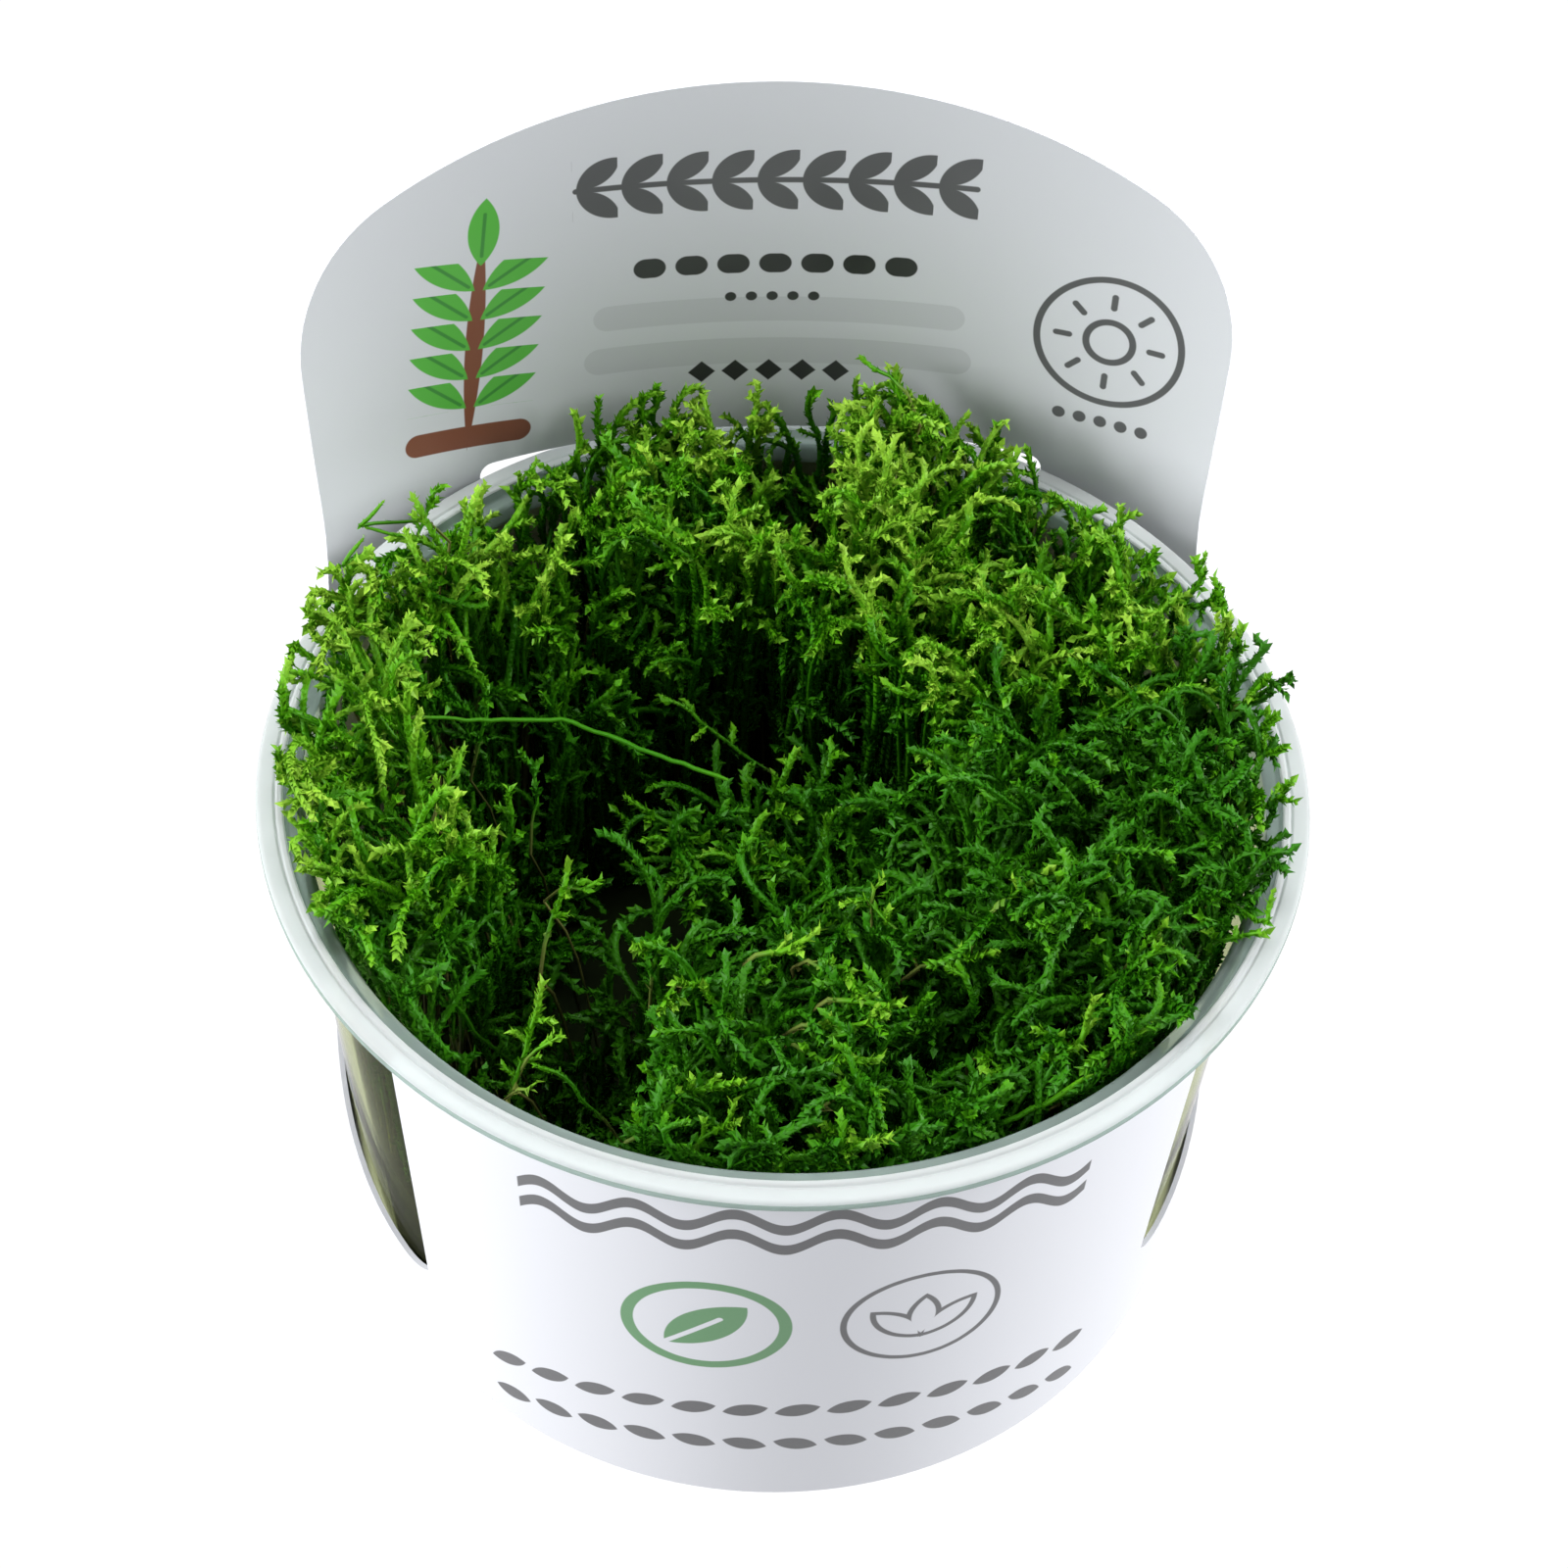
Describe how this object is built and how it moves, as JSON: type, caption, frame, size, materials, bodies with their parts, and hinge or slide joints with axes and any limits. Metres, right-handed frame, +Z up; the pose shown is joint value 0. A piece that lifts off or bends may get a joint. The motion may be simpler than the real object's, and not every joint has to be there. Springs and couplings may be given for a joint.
{
  "type": "tissue culture moss in a cup",
  "caption": "Clump of spiky aquarium moss standing in a clear round culture cup with a flat rim, wrapped in a white card sleeve with a tall arched back panel.",
  "frame": {"origin": "centre of the cup's flat base, on the surface that it stands on", "axes": "+Z up along the cup's axis, +Y towards the card's tall back panel, +X to the right seen from the front"},
  "size_m": [0.095, 0.095, 0.1],
  "materials": {
    "cup": "clear, slightly cloudy moulded plastic",
    "card": "smooth white printed card, satin",
    "gel": "wet dark culture gel",
    "moss": "moist green shoots with tiny pointed leaves"
  },
  "bodies": {
    "root": {"cup": "cup", "card_sleeve": "card", "growth_gel": "gel", "moss_tuft_right_back": "moss", "moss_tuft_back_right": "moss", "moss_tuft_back_left": "moss", "moss_tuft_left": "moss", "moss_tuft_front_left": "moss", "moss_tuft_front_right": "moss", "moss_tuft_right_front": "moss", "moss_tuft_middle": "moss"}
  },
  "joints": []
}
